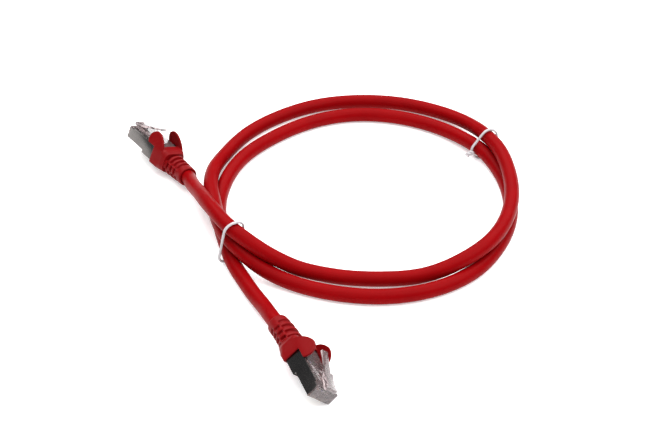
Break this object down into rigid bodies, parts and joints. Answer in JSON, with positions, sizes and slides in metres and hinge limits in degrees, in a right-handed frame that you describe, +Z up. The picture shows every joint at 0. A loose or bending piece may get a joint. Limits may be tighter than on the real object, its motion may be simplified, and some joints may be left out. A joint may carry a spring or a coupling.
{
  "type": "ethernet patch cable",
  "caption": "Red shielded network patch cable with a clear latched modular plug and ribbed boot at each end, laid in loose turns and held by thin white wire ties.",
  "frame": {"origin": "on the table, under the middle of the laid cable's bounding box", "axes": "+Z up from the table; +Y away from the viewer, with plug b at the near end and plug a at the far left; +X to the viewer's right"},
  "size_m": [0.1711, 0.2024, 0.0218],
  "materials": {
    "jacket_red": "satin",
    "boot_red": "matte",
    "clear_plastic": "clear gloss",
    "plated_steel": "satin plated",
    "gold_contact": "polished",
    "tinned_braid": "braided",
    "pair_foil": "foil",
    "white_tie": "satin",
    "wire_white_orange": "satin",
    "wire_orange": "satin",
    "wire_white_green": "satin",
    "wire_blue": "satin",
    "wire_white_blue": "satin",
    "wire_green": "satin",
    "wire_white_brown": "satin",
    "wire_brown": "satin"
  },
  "bodies": {
    "cable": {"housing_a": "clear_plastic", "shield_a": "plated_steel", "boot_a": "boot_red", "load_bar_a": "clear_plastic", "crimp_collar_a": "tinned_braid", "contact_a1": "gold_contact", "wire_a1": "wire_white_orange", "contact_a2": "gold_contact", "wire_a2": "wire_orange", "contact_a3": "gold_contact", "wire_a3": "wire_white_green", "contact_a4": "gold_contact", "wire_a4": "wire_blue", "contact_a5": "gold_contact", "wire_a5": "wire_white_blue", "contact_a6": "gold_contact", "wire_a6": "wire_green", "contact_a7": "gold_contact", "wire_a7": "wire_white_brown", "contact_a8": "gold_contact", "wire_a8": "wire_brown", "housing_b": "clear_plastic", "shield_b": "plated_steel", "boot_b": "boot_red", "load_bar_b": "clear_plastic", "crimp_collar_b": "tinned_braid", "contact_b1": "gold_contact", "wire_b1": "wire_white_orange", "contact_b2": "gold_contact", "wire_b2": "wire_orange", "contact_b3": "gold_contact", "wire_b3": "wire_white_green", "contact_b4": "gold_contact", "wire_b4": "wire_blue", "contact_b5": "gold_contact", "wire_b5": "wire_white_blue", "contact_b6": "gold_contact", "wire_b6": "wire_green", "contact_b7": "gold_contact", "wire_b7": "wire_white_brown", "contact_b8": "gold_contact", "wire_b8": "wire_brown", "cable_jacket": "jacket_red", "cable_screen": "tinned_braid", "pair_brown": "pair_foil", "pair_blue": "pair_foil", "pair_orange": "pair_foil", "pair_green": "pair_foil", "tie_left": "white_tie", "tie_right": "white_tie"},
    "latch_a": {"latch_a": "clear_plastic"},
    "latch_b": {"latch_b": "clear_plastic"}
  },
  "joints": [
    {"name": "latch_a_flex", "type": "hinge", "parent": "cable", "child": "latch_a", "pos_m": [-0.0784, 0.06499, 0.01226], "axis": [0.6837, 0.6066, -0.4057], "range_deg": [0, 15], "stiffness_Nm_per_rad": 0.1},
    {"name": "latch_b_flex", "type": "hinge", "parent": "cable", "child": "latch_b", "pos_m": [0.00441, -0.09652, 0.00916], "axis": [-0.6071, -0.332, 0.7219], "range_deg": [0, 15], "stiffness_Nm_per_rad": 0.1}
  ]
}
